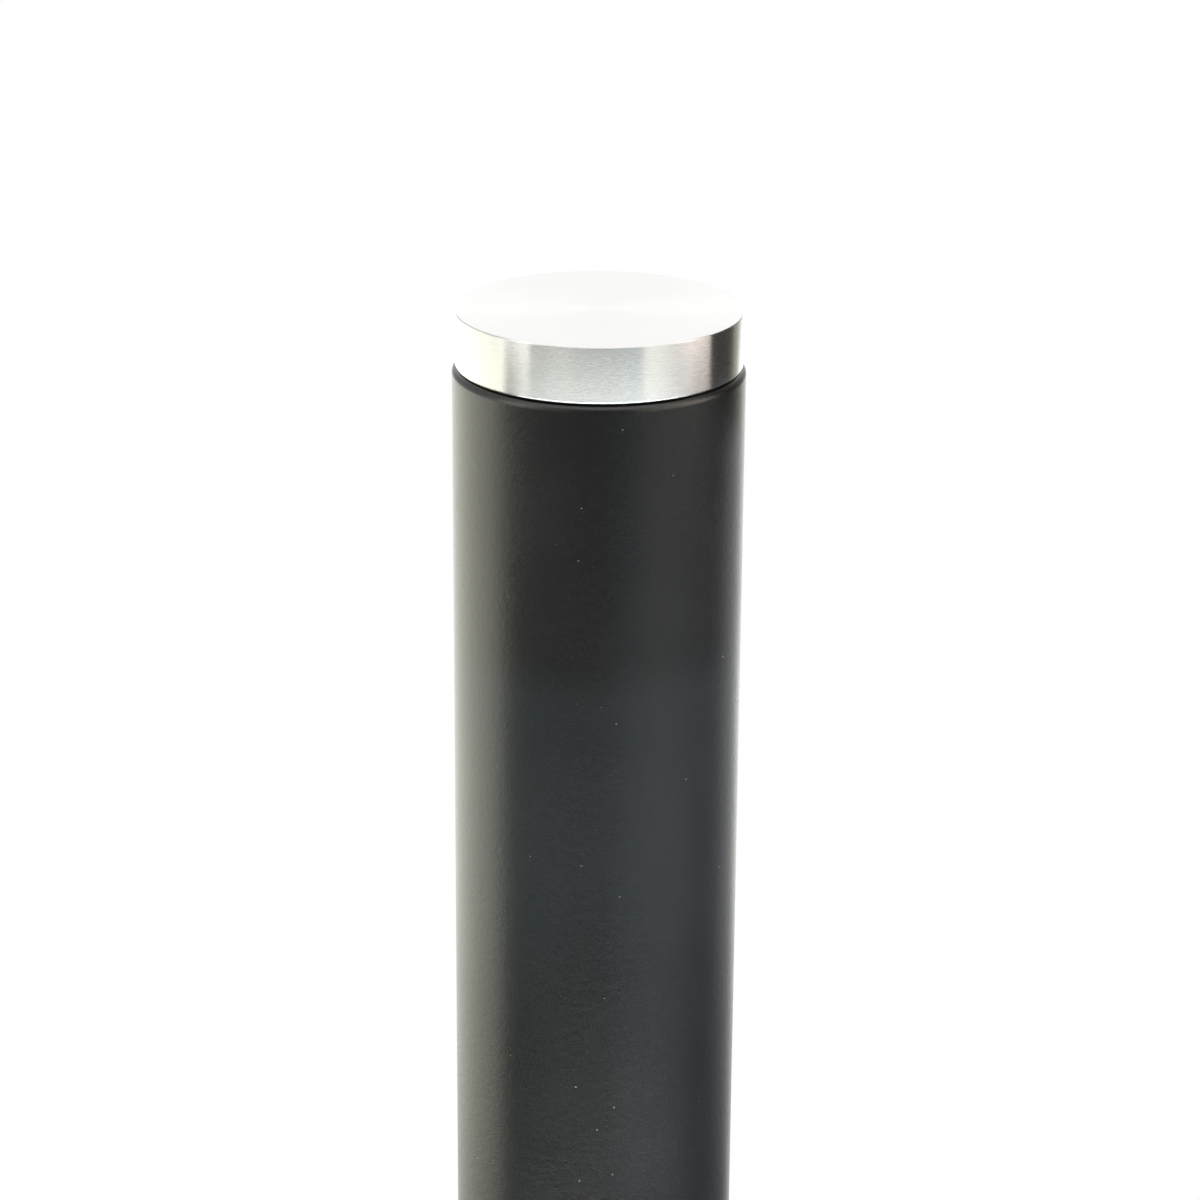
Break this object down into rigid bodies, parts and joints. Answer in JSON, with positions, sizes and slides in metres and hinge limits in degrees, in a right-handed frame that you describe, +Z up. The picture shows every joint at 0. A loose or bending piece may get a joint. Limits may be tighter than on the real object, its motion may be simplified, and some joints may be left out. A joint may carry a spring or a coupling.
{
  "type": "safety bollard",
  "caption": "Bolt-down steel safety bollard: a round black post closed by a polished metal disc, with a sliding cover over its anchored foot.",
  "frame": {"origin": "middle of the foot at ground level, on the underside of the rubber pad", "axes": "+Z up along the post; +X and +Y each point along a gusset, and the anchor holes lie midway between them"},
  "size_m": [0.222, 0.222, 1],
  "materials": {
    "black_coat": "semi-matt black powder coat with a fine orange-peel skin",
    "cover_coat": "semi-matt black powder coat on pressed sheet",
    "polished_cap": "turned and polished stainless steel",
    "black_nylon": "moulded black nylon",
    "seal_rubber": "smooth black rubber",
    "pad_rubber": "cut black sheet rubber",
    "zinc_primer": "matt grey zinc primer",
    "zinc_plate": "bright zinc plate"
  },
  "bodies": {
    "post": {"ground_pad": "pad_rubber", "base_plate": "black_coat", "base_weld": "black_coat", "post_tube": "black_coat", "gusset_right": "black_coat", "gusset_back": "black_coat", "gusset_left": "black_coat", "gusset_front": "black_coat", "gusset_welds": "black_coat", "cap": "polished_cap", "cap_plug": "black_nylon", "plug_seals": "seal_rubber", "bridge_bar": "zinc_primer", "bridge_welds": "zinc_primer", "cap_stud": "zinc_plate", "cap_washer": "zinc_plate", "cap_spring_washer": "zinc_plate", "cap_nut": "zinc_plate"},
    "cover": {"base_cover": "cover_coat", "cover_grommet": "seal_rubber"}
  },
  "joints": [
    {"name": "cover_slide", "type": "slide", "parent": "post", "child": "cover", "axis": [0, 0, 1], "range_m": [0, 0.895]}
  ]
}
